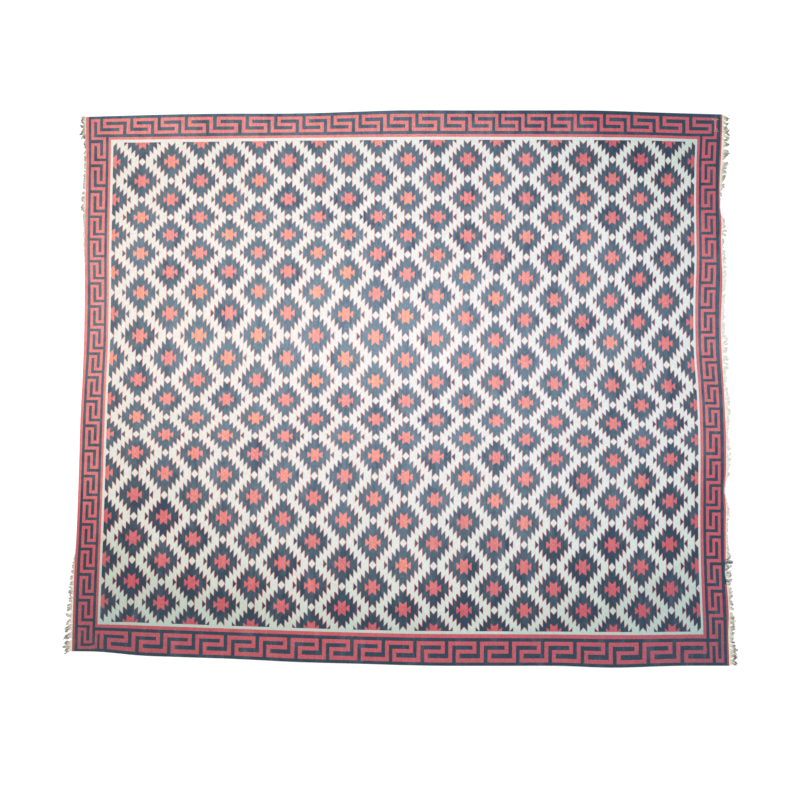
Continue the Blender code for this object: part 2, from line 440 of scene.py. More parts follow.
class Outline:
    """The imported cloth's outline, as its four sides."""

    def __init__(self):
        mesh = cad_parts["rug"].data
        floor = CLOTH_LOW.z + 0.1 * MM
        rim = {tuple(vertex.co.xy) for vertex in mesh.vertices if vertex.co.z < floor}
        corners = {
            (side_x, side_y): max(rim, key=lambda spot: side_x * spot[0] + side_y * spot[1])
            for side_x in (-1, 1) for side_y in (-1, 1)
        }
        self.ends = {-1: [], 1: []}
        self.selvedges = {-1: [], 1: []}
        for x, y in rim:
            corner = corners[(math.copysign(1, x), math.copysign(1, y))]
            if (x, y) == corner or x / corner[0] > y / corner[1]:
                self.ends[math.copysign(1, x)].append((y, x))
            if (x, y) == corner or x / corner[0] <= y / corner[1]:
                self.selvedges[math.copysign(1, y)].append((x, y))
        for side in (*self.ends.values(), *self.selvedges.values()):
            side.sort()

    @staticmethod
    def read(side, place):
        """The side's distance from the middle line, at a place along it."""
        place = limit(place, side[0][0], side[-1][0])
        row = int(limit(bisect_right(side, (place, math.inf)) - 1, 0, len(side) - 2))
        start = side[row]
        end = side[row + 1]
        return mix(start[1], end[1], (place - start[0]) / (end[0] - start[0]))

    def end_x(self, side, y):
        """X of the left (-1) or right (+1) end."""
        return self.read(self.ends[side], y)

    def settled_end_x(self, side, y):
        """X of an end with its worn notches evened out, as the inner bands run."""
        rows = self.ends[side]
        reach = min(SETTLE_REACH, y - rows[0][0], rows[-1][0] - y)
        steps = [step / 6 for step in range(-6, 7)]
        weights = [1.0 - 0.8 * abs(step) for step in steps]
        readings = [self.read(rows, y + reach * step) for step in steps]
        waist = WAIST * ease(-0.1, 0.25, y) * (1 - ease(0.45, 0.75, y))
        total = sum(weight * reading for weight, reading in zip(weights, readings))
        return total / sum(weights) - side * waist

    def selvedge_y(self, side, x):
        """Y of the near (-1) or far (+1) selvedge."""
        return self.read(self.selvedges[side], x)


outline = Outline()
BARS = {
    "left": full_bars(LEFT_BARS), "right": full_bars(RIGHT_BARS),
    "near": full_bars(NEAR_BARS), "far": full_bars(FAR_BARS),
}


def star_column_x(column, y):
    """X of a star column, whole or in between, at height y."""
    left_drift = outline.settled_end_x(-1, y) - outline.end_x(-1, 0.0)
    right_drift = outline.settled_end_x(1, y) - outline.end_x(1, 0.0)
    right_drift += 3 * MM * ease(0.6, 1.3, y)
    far_right = ease(0.7, 1.35, y) * ease(15.5, 18, column) * (1 - ease(18.5, 20, column))
    middle = ease(5, 8, column) * (1 - ease(18, 20, column))
    return (
        curve(STAR_COLUMN_X, column) + middle * curve(SWAY, y) * MM
        + 0.5 * left_drift * (1 - ease(5, 8, column)) + right_drift * ease(15, 20, column)
        + 9 * MM * far_right
    )


def star_row_y(number, x):
    """Y of a star row, whole or in between, at x."""
    stations = [station for station, rises in STAR_ROW_RISES]
    rises = [curve(rises, number) for station, rises in STAR_ROW_RISES]
    rise = smooth_reading(stations, rises, limit(x, stations[0], stations[-1]))
    return curve(STAR_ROW_Y, number) + rise * MM


def band_share(widths, bands, place_share):
    """How far into the border a number of bands reaches, as a share of its width."""
    at_place = [mix(first, last, place_share) for first, last in zip(*widths)]
    whole = int(bands)
    reached = sum(at_place[:whole])
    if whole < len(at_place):
        reached += at_place[whole] * (bands - whole)
    return reached / sum(at_place)


def chart_x(across, y):
    """X of a chart line that runs from selvedge to selvedge, at height y."""
    nearness = limit(0.5 - y / (2 * CLOTH_HIGH.y))
    if FIELD_LEFT <= across <= FIELD_RIGHT:
        return star_column_x((across - FIELD_LEFT) / CELLS, y)
    side, bands, widths, column = -1, across, LEFT_WIDTHS, 0
    if across > FIELD_RIGHT:
        side, bands, widths, column = 1, CHART_WIDTH - across, RIGHT_WIDTHS, STAR_COLUMNS
    settled = outline.settled_end_x(side, y)
    notch = outline.end_x(side, y) - settled
    x = mix(settled, star_column_x(column, y), band_share(widths, bands, nearness))
    return x + notch * (1 - ease(0, SETTLED_BANDS, bands))


def chart_y(warp, x):
    """Y of a chart line that runs from end to end, at x."""
    rightness = limit(0.5 + x / (2 * CLOTH_HIGH.x))
    if warp < FIELD_NEAR:
        bands = warp / NEAR_BAND_WARPS
        share = band_share(NEAR_WIDTHS, bands, rightness)
        corner_share = band_share((CORNER_WIDTHS, CORNER_WIDTHS), bands, 0)
        share = mix(corner_share, share, ease(-1.715, -1.695, x))
        return mix(outline.selvedge_y(-1, x), star_row_y(STAR_ROWS, x), share)
    if warp > FIELD_FAR:
        share = band_share(FAR_WIDTHS, (CHART_HEIGHT - warp) / FAR_BAND_WARPS, rightness)
        return mix(outline.selvedge_y(1, x), star_row_y(0, x), share)
    return star_row_y((FIELD_FAR - warp) / (STEPS * STEP_WARPS), x)


def chart_place(across, warp):
    """X and y of a chart point. The two directions settle against each other."""
    x = mix(CLOTH_LOW.x, CLOTH_HIGH.x, across / CHART_WIDTH)
    y = mix(CLOTH_LOW.y, CLOTH_HIGH.y, warp / CHART_HEIGHT)
    for settle in range(3):
        x = chart_x(across, y)
        y = chart_y(warp, x)
    return x, y


def lift(settings, x, y):
    """How high the cloth's underside lies above the floor."""
    swell = 0.5 + 0.5 * noise.noise(Vector((1.1 * x, 0.9 * y, 3.7)))
    edge = max(abs(x) / CLOTH_HIGH.x, abs(y) / CLOTH_HIGH.y)
    wave = max(0.0, noise.noise(Vector((2.7 * x, 2.3 * y, 9.1))))
    return settings.swell * swell ** 2 + settings.edge_wave * wave * ease(0.7, 1.0, edge)


def dye_letter(across, warp):
    """Which dye or pattern the chart has at a point."""
    left = across < FIELD_LEFT
    right = across > FIELD_RIGHT
    near = warp < FIELD_NEAR
    far = warp > FIELD_FAR
    if (left or right) and (near or far):
        chart = CORNER_CHARTS[("left" if left else "right", "near" if near else "far")]
        rows_down = (FIELD_NEAR - warp) / NEAR_BAND_WARPS
        if far:
            rows_down = (CHART_HEIGHT - warp) / FAR_BAND_WARPS
        return chart[int(rows_down)][int(across if left else across - FIELD_RIGHT)]
    if left or right:
        return END_BANDS[int(across if left else CHART_WIDTH - across)]
    if near:
        return SELVEDGE_BANDS[int(warp / NEAR_BAND_WARPS)]
    if far:
        return SELVEDGE_BANDS[int((CHART_HEIGHT - warp) / FAR_BAND_WARPS)]
    return "f"


def key_place(across, warp, x, y):
    """Place in the key border: units along the side, and bands in from its edge."""
    if across < FIELD_LEFT:
        return line_number(BARS["left"], y), across - END_KEY_START
    if across > FIELD_RIGHT:
        return line_number(BARS["right"], y), CHART_WIDTH - across - END_KEY_START
    if warp < FIELD_NEAR:
        return line_number(BARS["near"], x), warp / NEAR_BAND_WARPS - SELVEDGE_KEY_START
    bands = (CHART_HEIGHT - warp) / FAR_BAND_WARPS - SELVEDGE_KEY_START
    return line_number(BARS["far"], x), bands


def chart_lines():
    """The chart lines that the cloth's grid follows, across and along."""
    across = [0, END_ROUNDING, *range(1, CHART_WIDTH)]
    across += [CHART_WIDTH - END_ROUNDING, CHART_WIDTH]
    bead = [0, SELVEDGE_BEAD, 2 * SELVEDGE_BEAD]
    along = bead + list(range(NEAR_BAND_WARPS, FIELD_FAR, STEP_WARPS))
    along += list(range(FIELD_FAR, CHART_HEIGHT, FAR_BAND_WARPS))
    along += [CHART_HEIGHT - step for step in reversed(bead)]
    return across, along


def thickness_share(across, warp):
    """Share of the cloth's thickness: thin at the very edge, full in the selvedge bead."""
    to_end = min(across, CHART_WIDTH - across)
    to_selvedge = min(warp, CHART_HEIGHT - warp)
    share = mix(0.72, 1.0, limit(to_end / END_ROUNDING))
    if to_selvedge < 2 * SELVEDGE_BEAD:
        bead = math.sin(math.pi * limit(to_selvedge / (2 * SELVEDGE_BEAD)))
        share *= mix(0.7, 1.0, limit(to_selvedge / SELVEDGE_BEAD)) + 0.18 * bead
    return share


def weave_cloth(settings):
    """The cloth as one closed sheet whose grid follows the chart."""
    across_lines, along_lines = chart_lines()
    columns = len(across_lines)
    sheet = bmesh.new()
    across_layer = sheet.verts.layers.float.new("across")
    warp_layer = sheet.verts.layers.float.new("warp")
    bmesh.ops.create_grid(sheet, x_segments=columns - 1, y_segments=len(along_lines) - 1)
    sheet.verts.ensure_lookup_table()
    for vertex in sheet.verts:
        across = across_lines[vertex.index % columns]
        warp = along_lines[vertex.index // columns]
        x, y = chart_place(across, warp)
        vertex.co = (x, y, lift(settings, x, y))
        vertex[across_layer] = across
        vertex[warp_layer] = warp

    raised = bmesh.ops.extrude_face_region(sheet, geom=sheet.faces[:], use_keep_orig=True)
    upper = [item for item in raised["geom"] if isinstance(item, bmesh.types.BMVert)]
    for vertex in upper:
        share = thickness_share(vertex[across_layer], vertex[warp_layer])
        vertex.co.z += settings.thickness * share
    bmesh.ops.recalc_face_normals(sheet, faces=sheet.faces)

    uprights = [
        edge for edge in sheet.edges
        if (edge.verts[0].co.xy - edge.verts[1].co.xy).length < 0.01 * MM
    ]
    cut = bmesh.ops.subdivide_edges(sheet, edges=uprights, cuts=1)
    for vertex in cut["geom_inner"]:
        if not isinstance(vertex, bmesh.types.BMVert):
            continue
        if vertex[across_layer] in (0, CHART_WIDTH):
            vertex.co.x += math.copysign(settings.rim_bulge, vertex.co.x)
        if vertex[warp_layer] in (0, CHART_HEIGHT):
            vertex.co.y += math.copysign(settings.rim_bulge, vertex.co.y)
    chart_the_dyes(sheet, across_layer, warp_layer)
    return sheet


def chart_the_dyes(sheet, across_layer, warp_layer):
    """Give every face its dye, and every corner its place in the chart and the key."""
    dye_layer = sheet.faces.layers.float.new("dye")
    chart_layer = sheet.loops.layers.uv.new("chart")
    key_layer = sheet.loops.layers.uv.new("key")
    bake_layer = sheet.loops.layers.uv.new("OFBake")
    low = CLOTH_LOW.xy - Vector((1, 1)) * 10 * MM
    size = CLOTH_HIGH.xy - CLOTH_LOW.xy + Vector((1, 1)) * 20 * MM
    for face in sheet.faces:
        face.smooth = True
        across = sum(vertex[across_layer] for vertex in face.verts) / len(face.verts)
        warp = sum(vertex[warp_layer] for vertex in face.verts) / len(face.verts)
        across = limit(across, 0.01, CHART_WIDTH - 0.01)
        warp = limit(warp, 0.01, CHART_HEIGHT - 0.01)
        letter = dye_letter(across, warp)
        y = face.calc_center_median().y
        if across > CHART_WIDTH - 1 and MEND_NEAR < y < MEND_FAR:
            letter = "i"
        face[dye_layer] = DYE_CODES[letter]
        for loop in face.loops:
            vertex = loop.vert
            loop[chart_layer].uv = (vertex[across_layer], vertex[warp_layer])
            loop[bake_layer].uv = (
                (vertex.co.x - low.x) / size.x, (vertex.co.y - low.y) / size.y
            )
            if letter == "k":
                loop[key_layer].uv = key_place(
                    *corner_inside(vertex[across_layer], vertex[warp_layer], across, warp),
                    vertex.co.x, vertex.co.y,
                )


def corner_inside(vertex_across, vertex_warp, face_across, face_warp):
    """A face corner's chart place, drawn a hair towards the face so it keeps its side."""
    return (
        mix(vertex_across, face_across, 0.001), mix(vertex_warp, face_warp, 0.001)
    )


class Loom:
    """Adds shader nodes one after another, each wired to values made before it."""

    def __init__(self, material):
        material.use_nodes = True
        self.tree = material.node_tree
        self.shader = self.tree.nodes["Principled BSDF"]

    def add(self, kind, **settings):
        """A new node of the given kind."""
        node = self.tree.nodes.new(kind)
        for name, value in settings.items():
            setattr(node, name, value)
        return node

    def feed(self, socket, value):
        """Wire a value into a socket, or set the socket to it."""
        if isinstance(value, bpy.types.NodeSocket):
            self.tree.links.new(value, socket)
        elif hasattr(value, "__len__") and len(value) == 3 and socket.type == "RGBA":
            socket.default_value = (*value, 1.0)
        else:
            socket.default_value = value

    def math(self, operation, *values):
        """The result of one sum on one, two or three values."""
        node = self.add("ShaderNodeMath", operation=operation)
        for socket, value in zip(node.inputs, values):
            self.feed(socket, value)
        return node.outputs[0]

    def chain(self, operation, *values):
        """The same sum carried on through several values."""
        result = values[0]
        for value in values[1:]:
            result = self.math(operation, result, value)
        return result

    def times(self, *values):
        """The values multiplied together."""
        return self.chain("MULTIPLY", *values)

    def plus(self, *values):
        """The values added together."""
        return self.chain("ADD", *values)

    def minus(self, start, value):
        """The first value less the second."""
        return self.math("SUBTRACT", start, value)

    def line(self, value, slope, level):
        """The value times a slope, plus a level."""
        return self.math("MULTIPLY_ADD", value, slope, level)

    def clamp(self, value):
        """The value kept between 0 and 1."""
        node = self.add("ShaderNodeClamp")
        self.feed(node.inputs["Value"], value)
        return node.outputs[0]

    def blend(self, share, start, end):
        """A colour the given share of the way from start to end."""
        node = self.add("ShaderNodeMix", data_type="RGBA")
        self.feed(node.inputs[0], share)
        self.feed(node.inputs[6], start)
        self.feed(node.inputs[7], end)
        return node.outputs[2]

    def tint(self, colour, factor):
        """A colour multiplied by another, or by a grey."""
        node = self.add("ShaderNodeMix", data_type="RGBA", blend_type="MULTIPLY")
        self.feed(node.inputs[0], 1.0)
        self.feed(node.inputs[6], colour)
        self.feed(node.inputs[7], factor)
        return node.outputs[2]

    def map(self, name):
        """The two coordinates of one of the piece's own UV maps."""
        source = self.add("ShaderNodeUVMap", uv_map=name)
        parts = self.add("ShaderNodeSeparateXYZ")
        self.feed(parts.inputs[0], source.outputs[0])
        return parts.outputs[0], parts.outputs[1]

    def face_value(self, name):
        """A number kept on the piece's faces."""
        source = self.add("ShaderNodeAttribute", attribute_name=name)
        return source.outputs["Fac"]

    def place(self):
        """Object coordinates, whole and as x and y."""
        source = self.add("ShaderNodeTexCoord").outputs["Object"]
        parts = self.add("ShaderNodeSeparateXYZ")
        self.feed(parts.inputs[0], source)
        return source, parts.outputs[0], parts.outputs[1]

    def vector(self, x, y, z=0.0):
        """Three numbers as one vector."""
        node = self.add("ShaderNodeCombineXYZ")
        for socket, value in zip(node.inputs, (x, y, z)):
            self.feed(socket, value)
        return node.outputs[0]

    def cloud(self, vector, scale, detail=2.0):
        """Soft noise from 0 to 1 with its mean at a half."""
        node = self.add("ShaderNodeTexNoise")
        self.feed(node.inputs["Vector"], vector)
        node.inputs["Scale"].default_value = scale
        node.inputs["Detail"].default_value = detail
        return node.outputs[0]

    def scatter(self, vector):
        """A random number from 0 to 1 for every different vector."""
        node = self.add("ShaderNodeTexWhiteNoise", noise_dimensions="3D")
        self.feed(node.inputs["Vector"], vector)
        return node.outputs[0]

    def relief(self, height, distance, strength=1.0):
        """Bump the surface by a height, at a real depth."""
        node = self.add("ShaderNodeBump")
        node.inputs["Strength"].default_value = strength
        node.inputs["Distance"].default_value = distance
        self.feed(node.inputs["Height"], height)
        self.feed(self.shader.inputs["Normal"], node.outputs[0])


OUTLINE_CELLS = 0.06     # half the width of the single pick of coral round each figure
PICKS_PER_CELL = 6.5     # weft picks that show on one rib in a pattern cell
RIB_SHADE = 0.16         # painted shade: how much darker the grooves between ribs are
PICK_SHADE = 0.08        # and the painted shade in the joints between picks
GRAIN = 0.42             # how much one pick differs in tone from the next
CREAM_GRAIN = 0.20       # and how much in the cream
CELL_JITTER = 0.12       # unevenness of a dye's edge, in cells
PICK_OFFSET = 0.5        # how far the picks of one rib lie from the next rib's, in picks
PICK_RELIEF = 0.35       # share of the ribs' relief that the picks take up
PATCHINESS = 0.3         # how far soft patches move the sun-fading and painted light, all told
MOTTLE = 0.7             # strength of the mottling beside the streaks
LOT_TONE = 0.20          # how far a star's dye lot moves its fading
UNFADED_UNEVEN = 0.55    # how each dye follows the sun-fading and painted light
INDIGO_POWER = 1.32      # how each dye's fading follows the bleaching
CORAL_POWER = 0.92
CREAM_POWER = 0.56
CORAL_KEPT = 0.10        # how much less the coral has faded at the right end
GREEN_SHARE = 0.45       # most of the greener lot that shows in the indigo
WORN_SHARE = 0.5         # and most of its worn parts
OUTLINE_SHARE = 0.92     # how fully the outline covers what is under it
OUTLINE_CREAM = 0.12     # share of cream in the outline's coral
CAST_SLOPE = 0.27        # how fast the light's cast changes along the rug, in a metre

# Layers of streaks: how narrow they are along x and y, their detail and strength
STREAKS = ((14.0, 1.7, 2.0, 0.75), (90.0, 7.0, 1.0, 0.5))

# Where the sun has bleached the rug and a painted pool of light brightens it: place, how far
# it reaches, slant and strength, the first of them fitted to the photograph's colours
BLEACHED_AND_LIT = (
    ((-0.22, 0.30), (2.62, 1.82), 0.22, 0.85),
    ((-1.35, 1.40), (1.00, 0.80), 0.0, 0.46),
    ((0.00, 0.22), (1.20, 0.60), 0.0, 1.00),
)


def stepped_distance(loom, cells_out, steps_out, slant):
    """Distance from a star's centre in the saw-toothed steps that shape it."""
    steps = loom.plus(steps_out, loom.math("FLOOR", cells_out))
    return loom.minus(steps, loom.times(loom.math("FRACT", cells_out), slant))


def star_body(loom, cells_out, steps_out):
    """1 on a star's indigo body, and on the tips that reach past its tile to the next."""
    distance = stepped_distance(loom, cells_out, steps_out, BODY_SLANT)
    own = loom.math("LESS_THAN", distance, BODY_STEPS)
    in_last_cell = loom.math("GREATER_THAN", cells_out, CELLS - 1)
    slant = loom.minus(cells_out, steps_out)
    tip = loom.times(in_last_cell, loom.math("LESS_THAN", slant, CELLS - 1))
    return loom.math("MAXIMUM", own, tip)


def star_pattern(loom, across, warp):
    """The stars: masks of coral centre, indigo body and outline, and the star's number."""
    column = loom.math("DIVIDE", loom.minus(across, FIELD_LEFT), CELLS)
    whole_warp = loom.plus(loom.math("FLOOR", warp), 0.5)
    row = loom.minus(whole_warp, FIELD_NEAR)
    row = loom.math("DIVIDE", row, STEPS * STEP_WARPS)
    rising = loom.line(loom.plus(column, row), 0.5, 0.5)
    falling = loom.line(loom.minus(column, row), 0.5, 0.5)
    rising_star = loom.math("ROUND", rising)
    falling_star = loom.math("ROUND", falling)
    rising_off = loom.minus(rising, rising_star)
    falling_off = loom.minus(falling, falling_star)
    columns_out = loom.math("ABSOLUTE", loom.plus(rising_off, falling_off))
    rows_out = loom.math("ABSOLUTE", loom.minus(rising_off, falling_off))
    cells_out = loom.times(columns_out, CELLS)
    steps_out = loom.times(rows_out, STEPS)

    distance = stepped_distance(loom, cells_out, steps_out, CORAL_SLANT)
    coral = loom.math("LESS_THAN", distance, CORAL_STEPS)
    body = star_body(loom, cells_out, steps_out)
    either_side = []
    for shift in (-OUTLINE_CELLS, OUTLINE_CELLS):
        cells_aside = loom.math("ABSOLUTE", loom.plus(cells_out, shift))
        either_side.append(star_body(loom, cells_aside, steps_out))
    edge = loom.math("ABSOLUTE", loom.minus(*either_side))
    star = loom.vector(rising_star, falling_star)
    return coral, body, edge, star


def key_pattern(loom, units, band):
    """The key border: 1 where it is coral and 0 where it is indigo."""
    along = loom.math("FRACT", loom.plus(units, KEY_BAR / 2))
    body_start = KEY_BAR + KEY_GAP
    body_end = 1 - KEY_GAP

    def under(value, edge):
        return loom.math("LESS_THAN", value, edge)

    def over(value, edge):
        return loom.math("GREATER_THAN", value, edge)

    def both(*masks):
        return loom.times(*masks)

    before_end = under(along, body_end)
    after_start = over(along, body_start)
    bars = (
        under(along, KEY_BAR),
        both(over(band, 4), before_end),
        both(over(band, 2), before_end, over(along, body_end - KEY_BAR)),
        both(over(band, 2), under(band, 3), after_start, before_end),
        both(under(band, 3), after_start, under(along, body_start + KEY_BAR)),
        both(under(band, 1), after_start),
    )
    return loom.chain("MAXIMUM", *bars)


def dye_is(loom, dye, letter):
    """1 on the faces that have the given dye."""
    return loom.math("COMPARE", dye, float(DYE_CODES[letter]), 0.5)


def bleach_and_light(loom, x, y, patches):
    """How far the sun has faded the rug and a painted pool of light brightens it, and how far
    painted shade darkens its corners instead.
    """
    faded = []
    for (middle_x, middle_y), (reach_x, reach_y), slant, strength in BLEACHED_AND_LIT:
        off_x = loom.line(x, 1 / reach_x, -middle_x / reach_x)
        off_y = loom.line(y, 1 / reach_y, -middle_y / reach_y)
        off = loom.plus(
            loom.times(off_x, off_x), loom.times(off_y, off_y), loom.times(off_x, off_y, slant)
        )
        faded.append(loom.minus(strength, off))
    most = loom.chain("MAXIMUM", *faded)
    patchy = loom.plus(most, loom.line(patches, PATCHINESS, -PATCHINESS / 2))
    return loom.clamp(patchy), loom.clamp(loom.times(most, -1.0))


def dye_streaks(loom, x, y, star):
    """Uneven dyeing of the weft: broad and narrow streaks that run with it."""
    layers = []
    for scale_x, scale_y, detail, strength in STREAKS:
        at = loom.vector(loom.times(x, scale_x), loom.times(y, scale_y), star)
        layers.append(loom.times(loom.minus(loom.cloud(at, 1.0, detail), 0.5), strength))
    return loom.plus(*layers)


def ribbed_weave(loom, settings, across, warp, cream_mask):
    """Raise the ribs over the warps and the picks that cross them; return the painted shade in
    their grooves, with the picks' grain.
    """
    rib = loom.math("SINE", loom.times(loom.math("FRACT", warp), math.pi))
    rib_number = loom.math("FLOOR", warp)
    picks = loom.line(across, PICKS_PER_CELL, loom.times(rib_number, PICK_OFFSET))
    pick_turn = loom.times(picks, 2 * math.pi)
    pick = loom.line(loom.math("SINE", pick_turn), 0.5, 0.5)
    height = loom.times(rib, loom.line(pick, PICK_RELIEF, 1 - PICK_RELIEF))
    loom.relief(height, settings.rib_depth, 0.8)
    grain = loom.scatter(loom.vector(loom.math("FLOOR", picks), rib_number))
    coarse = loom.line(cream_mask, CREAM_GRAIN - GRAIN, GRAIN)
    grain = loom.times(loom.minus(grain, 0.5), coarse)
    return loom.times(
        loom.line(rib, RIB_SHADE, 1 - RIB_SHADE),
        loom.line(pick, PICK_SHADE, 1 - PICK_SHADE),
        loom.plus(grain, 1.0),
    )


def woven_cotton(settings):
    """The cloth's finish: its dyes, their fading and lots, the light and shade painted over
    them, and the ribbed weave.
    """
    material = bpy.data.materials.new("woven_cotton")
    loom = Loom(material)
    across, warp = loom.map("chart")
    units, band = loom.map("key")
    dye = loom.face_value("dye")
    place, x, y = loom.place()

    jitter_at = loom.vector(loom.times(across, 2.0), loom.math("FLOOR", warp))
    jitter = loom.minus(loom.cloud(jitter_at, 1.7, 0.0), 0.5)
    across_woven = loom.line(jitter, CELL_JITTER, across)
    star_coral, body, star_edge, star = star_pattern(loom, across_woven, warp)
    field = dye_is(loom, dye, "f")
    key_coral = loom.times(key_pattern(loom, units, band), dye_is(loom, dye, "k"))
    coral_mask = loom.plus(dye_is(loom, dye, "c"), key_coral, loom.times(star_coral, field))
    ground = loom.times(field, loom.minus(1.0, body))
    cream_mask = loom.plus(dye_is(loom, dye, "w"), ground)

    patches = loom.cloud(place, 1.9, 3.0)
    # The first share is partly sun-fading and partly a painted pool of light; the second is
    # painted shade at the edges and corners.
    faded, dimmed = bleach_and_light(loom, x, y, patches)
    lot = loom.times(loom.minus(loom.scatter(star), 0.5), field)
    streaks = dye_streaks(loom, x, y, loom.times(lot, 60.0))
    mottle = loom.minus(loom.cloud(place, 16.0, 3.0), 0.5)
    streaks = loom.line(mottle, MOTTLE, streaks)
    uneven = loom.line(lot, LOT_TONE, streaks)
    showing = loom.line(faded, 1 - UNFADED_UNEVEN, UNFADED_UNEVEN)
    uneven = loom.times(uneven, showing)
    dye_fade = loom.clamp(loom.plus(loom.math("POWER", faded, INDIGO_POWER), uneven))
    indigo = loom.blend(dye_fade, settings.indigo_deep_shaded, settings.indigo_faded_lit)
    greenness = loom.times(loom.cloud(place, 4.3, 2.0), faded)
    indigo = loom.blend(loom.times(greenness, GREEN_SHARE), indigo, settings.indigo_green)
    violet = loom.clamp(loom.line(uneven, -2.0, -0.1))
    indigo = loom.blend(violet, indigo, settings.indigo_violet)
    eastward = loom.clamp(loom.line(x, CAST_SLOPE, 0.5))
    kept = loom.times(eastward, eastward, -CORAL_KEPT)
    coral_fade = loom.plus(loom.line(uneven, 0.5, faded), kept)
    coral_fade = loom.math("POWER", loom.clamp(coral_fade), CORAL_POWER)
    coral = loom.blend(coral_fade, settings.coral_deep_shaded, settings.coral_faded_lit)
    worn = loom.clamp(loom.line(loom.cloud(place, 3.1, 2.0), 6.0, -3.75))
    indigo = loom.blend(loom.times(worn, faded, WORN_SHARE), indigo, settings.indigo_worn)
    peachy = loom.clamp(loom.times(lot, 1.2))
    peachy = loom.times(peachy, faded)
    coral = loom.blend(peachy, coral, settings.coral_peach)
    # Painted light and shade: the cream is brightest in the middle and darkens towards the
    # edges.
    cream_clean = loom.math("POWER", faded, CREAM_POWER)
    cream = loom.blend(cream_clean, settings.cream_shaded, settings.cream_lit)
    # Painted shade: the coral and the cream darken and cool towards the edges and corners.
    dimming = loom.blend(dimmed, (1.0, 1.0, 1.0), settings.dimming)
    coral = loom.tint(coral, dimming)
    cream = loom.tint(cream, dimming)

    colour = loom.blend(coral_mask, indigo, coral)
    colour = loom.blend(cream_mask, colour, cream)
    outlined = loom.times(star_edge, field, OUTLINE_SHARE)
    colour = loom.blend(outlined, colour, loom.blend(OUTLINE_CREAM, coral, cream))
    cast = loom.blend(eastward, settings.cast_left, settings.cast_right)
    colour = loom.tint(colour, cast)
    colour = loom.tint(colour, ribbed_weave(loom, settings, across, warp, cream_mask))

    loom.feed(loom.shader.inputs["Base Color"], colour)
    roughness = loom.line(patches, 0.1, 0.85)
    loom.feed(loom.shader.inputs["Roughness"], roughness)
    loom.shader.inputs["Specular IOR Level"].default_value = 0.2
    return material


def finished_object(name, shape, material):
    """A piece made from a bmesh, with its finish, in the scene's collection."""
    mesh = bpy.data.meshes.new(name)
    shape.to_mesh(mesh)
    shape.free()
    mesh.materials.append(material)
    thing = bpy.data.objects.new(name, mesh)
    bpy.context.scene.collection.objects.link(thing)
    return thing


YARN_SIDES = 5
YARN_SEGMENTS = 9


def straight_yarn(radius):
    """One unit yarn along +X from 0 to 1, closed at both ends and thinner at its tip."""
    yarn = bmesh.new()
    turn = Matrix.Rotation(math.pi / 2, 3, "Y")
    ring = bmesh.ops.create_circle(yarn, segments=YARN_SIDES, radius=radius, cap_ends=True)
    bmesh.ops.rotate(yarn, verts=ring["verts"], matrix=turn)
    tip = yarn.faces[:]
    for step in range(YARN_SEGMENTS):
        grown = bmesh.ops.extrude_face_region(yarn, geom=tip, use_keep_orig=step == 0)
        verts = [item for item in grown["geom"] if isinstance(item, bmesh.types.BMVert)]
        tip = [item for item in grown["geom"] if isinstance(item, bmesh.types.BMFace)]
        bmesh.ops.translate(yarn, verts=verts, vec=(1 / YARN_SEGMENTS, 0, 0))
    bmesh.ops.scale(
        yarn, verts=verts, vec=(1, 0.35, 0.35), space=Matrix.Translation((-1, 0, 0))
    )
    bmesh.ops.recalc_face_normals(yarn, faces=yarn.faces)
    mesh = bpy.data.meshes.new("straight_yarn")
    yarn.to_mesh(mesh)
    yarn.free()
    return mesh


def lay_yarn(bundle, straight, route, layers, tone):
    """Add a copy of the straight yarn, bent along a route of points for shares 0 to 1."""
    length_layer, tone_layer = layers
    known = len(bundle.verts)
    faces_known = len(bundle.faces)
    bundle.from_mesh(straight)
    bundle.verts.ensure_lookup_table()
    bundle.faces.ensure_lookup_table()
    stations = {}
    shares = {}
    for vertex in bundle.verts[known:]:
        step = round(vertex.co.x * YARN_SEGMENTS)
        if step not in stations:
            share = step / YARN_SEGMENTS
            spot = route(share)
            heading = (route(min(share + 0.03, 1.0)) - route(max(share - 0.03, 0.0)))
            heading.normalize()
            aside = heading.cross(Vector((0, 0, 1))).normalized()
            stations[step] = (spot, aside, aside.cross(heading))
        spot, aside, up = stations[step]
        shares[vertex] = step / YARN_SEGMENTS, math.atan2(vertex.co.z, vertex.co.y)
        vertex.co = spot + aside * vertex.co.y + up * vertex.co.z
    length = sum(
        (stations[step + 1][0] - stations[step][0]).length for step in range(YARN_SEGMENTS)
    )
    for face in bundle.faces[faces_known:]:
        face.smooth = True
        turns = [shares[vertex][1] / (2 * math.pi) % 1.0 for vertex in face.verts]
        wraps = max(turns) - min(turns) > 0.5
        for loop, turn in zip(face.loops, turns):
            share = shares[loop.vert][0]
            loop[length_layer].uv = (share * length, turn + (wraps and turn < 0.5))
            loop[tone_layer].uv = (share, tone)


def new_bundle():
    """An empty bmesh for yarns, with the maps that their finish reads."""
    bundle = bmesh.new()
    layers = (bundle.loops.layers.uv.new("yarn"), bundle.loops.layers.uv.new("tone"))
    return bundle, layers


TWISTS_PER_METRE = 260
DYED = 2.0               # tones from here up mark a yarn that was dyed indigo
CORNER_START = 0.55      # the fringe darkens with painted shade, and its tips with dirt and painted shade, from this far along, in metres
CORNER_FULL = 1.45       # and fully from here
LOCK_SPREAD = 0.022      # how far to either side a lock's own length is met


